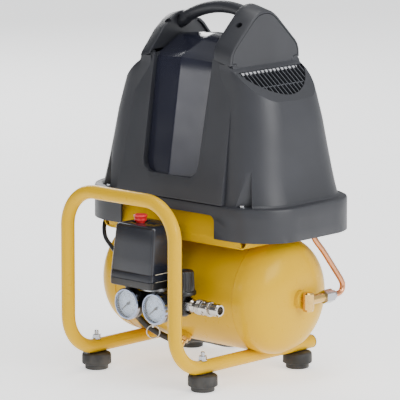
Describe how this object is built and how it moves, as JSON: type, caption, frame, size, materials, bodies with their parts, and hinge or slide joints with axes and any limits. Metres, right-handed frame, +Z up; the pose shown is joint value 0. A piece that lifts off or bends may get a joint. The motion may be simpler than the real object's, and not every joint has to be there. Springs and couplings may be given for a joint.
{
  "type": "air compressor",
  "caption": "Portable oil-free air compressor: tube stand and hoop, horizontal air tank, hooded pump with carrying handle, pressure switch, gauges, regulator and hose coupler on the front.",
  "frame": {"origin": "middle of the bounding box in plan, on the floor under the rubber feet, the mains cord left out", "axes": "+X along the air tank towards the delivery valve, -Y towards the hoop, gauges and switch, +Z up"},
  "size_m": [0.3727, 0.4535, 0.5111],
  "materials": {
    "frame_enamel": "gloss yellow enamel",
    "tank_enamel": "gloss yellow enamel",
    "foot_rubber": "matt moulded rubber",
    "tube_plug": "matt",
    "zinc": "bright zinc plate",
    "brass": "turned",
    "copper": "drawn copper tube, slightly dulled",
    "hood_plastic": "fine-grained charcoal plastic",
    "window_plastic": "polished black",
    "grille_plastic": "matt black",
    "handle_plastic": "soft grained",
    "switch_plastic": "satin black",
    "switch_base_plastic": "satin black",
    "red_plastic": "satin red",
    "contact_plastic": "moulded",
    "die_cast": "as cast",
    "black_alloy": "satin black coat",
    "gauge_black": "gloss black",
    "bezel_steel": "polished",
    "dial_white": "printed scale, no words",
    "lens_clear": "clear",
    "needle_black": "matt",
    "nickel": "nickel plate",
    "cast_alloy": "as cast",
    "laminated_steel": "varnished laminations",
    "shaft_steel": "ground",
    "fan_plastic": "moulded",
    "mount_rubber": "matt",
    "gland_plastic": "matt",
    "cord_rubber": "smooth jacket",
    "plug_rubber": "moulded plug"
  },
  "bodies": {
    "compressor": {"frame_tube": "frame_enamel", "rail_plugs": "tube_plug", "rubber_feet": "foot_rubber", "foot_studs": "zinc", "foot_nuts": "zinc", "tank_shell": "tank_enamel", "tank_dome_left": "tank_enamel", "tank_dome_right": "tank_enamel", "tank_bosses": "tank_enamel", "pump_platform": "tank_enamel", "drain_body": "brass", "check_valve": "brass", "pipe_nuts": "zinc", "delivery_pipe": "copper", "tank_nipple": "brass", "air_manifold": "black_alloy", "pressure_housing": "die_cast", "switch_base": "switch_base_plastic", "switch_cover": "switch_plastic", "cover_screw": "zinc", "contact_block": "contact_plastic", "cable_glands": "gland_plastic", "gauge_cases": "gauge_black", "gauge_bezels": "bezel_steel", "gauge_dials": "dial_white", "gauge_lenses": "lens_clear", "regulator_body": "black_alloy", "coupler_body": "nickel", "safety_valve": "brass", "hood_shell": "hood_plastic", "window_panel": "window_plastic", "side_grilles": "grille_plastic", "tower_cap_left": "hood_plastic", "tower_cap_right": "hood_plastic", "handle_bar": "handle_plastic", "hood_screws": "zinc", "pump_mounts": "mount_rubber", "crankcase": "cast_alloy", "motor_stator": "laminated_steel", "motor_housing": "cast_alloy", "ball_bearings": "shaft_steel", "piston_rod": "cast_alloy", "pump_cylinder": "cast_alloy", "cylinder_head": "cast_alloy", "intake_filter": "grille_plastic", "motor_lead": "cord_rubber", "mains_cord": "cord_rubber", "cord_coil": "cord_rubber", "mains_plug": "plug_rubber", "cord_clip": "gland_plastic"},
    "drain_screw": {"drain_screw": "brass"},
    "needle_left": {"needle_left": "needle_black"},
    "needle_right": {"needle_right": "needle_black"},
    "switch_knob": {"switch_knob": "red_plastic"},
    "regulator_knob": {"regulator_knob": "switch_base_plastic"},
    "coupler_sleeve": {"coupler_sleeve": "nickel"},
    "safety_stem": {"safety_stem": "nickel"},
    "pull_ring": {"pull_ring": "nickel"},
    "rotor": {"rotor_shaft": "shaft_steel", "cooling_fan": "fan_plastic"}
  },
  "joints": [
    {"name": "switch_knob_press", "type": "slide", "parent": "compressor", "child": "switch_knob", "axis": [0, 0, 1], "range_m": [-0.005, 0]},
    {"name": "regulator_knob_turn", "type": "hinge", "parent": "compressor", "child": "regulator_knob", "pos_m": [0.05149, -0.0805, 0.1265], "axis": [0, 0, 1], "range_deg": [-720, 720]},
    {"name": "coupler_sleeve_slide", "type": "slide", "parent": "compressor", "child": "coupler_sleeve", "axis": [1, 0, 0], "range_m": [-0.004, 0], "stiffness_N_per_m": 1500, "springref_m": 0.002},
    {"name": "drain_screw_turn", "type": "hinge", "parent": "compressor", "child": "drain_screw", "pos_m": [-0.00601, -0.01941, 0.04458], "axis": [0, -0.6157, -0.788], "range_deg": [0, 720]},
    {"name": "left_needle_swing", "type": "hinge", "parent": "compressor", "child": "needle_left", "pos_m": [-0.02501, -0.1095, 0.105], "axis": [0, 1, 0], "range_deg": [0, 270]},
    {"name": "right_needle_swing", "type": "hinge", "parent": "compressor", "child": "needle_right", "pos_m": [0.02699, -0.1095, 0.105], "axis": [0, 1, 0], "range_deg": [0, 270]},
    {"name": "safety_stem_pull", "type": "slide", "parent": "compressor", "child": "safety_stem", "axis": [0, 0, 1], "range_m": [-0.0025, 0], "stiffness_N_per_m": 2500, "springref_m": 0.002},
    {"name": "pull_ring_swing", "type": "hinge", "parent": "safety_stem", "child": "pull_ring", "pos_m": [-0.00701, -0.0785, 0.0719], "axis": [0.766, 0.6428, 0], "range_deg": [-80, 80]},
    {"name": "rotor_spin", "type": "hinge", "parent": "compressor", "child": "rotor", "pos_m": [-0.00101, 0.0435, 0.3065], "axis": [1, 0, 0], "continuous": true}
  ]
}
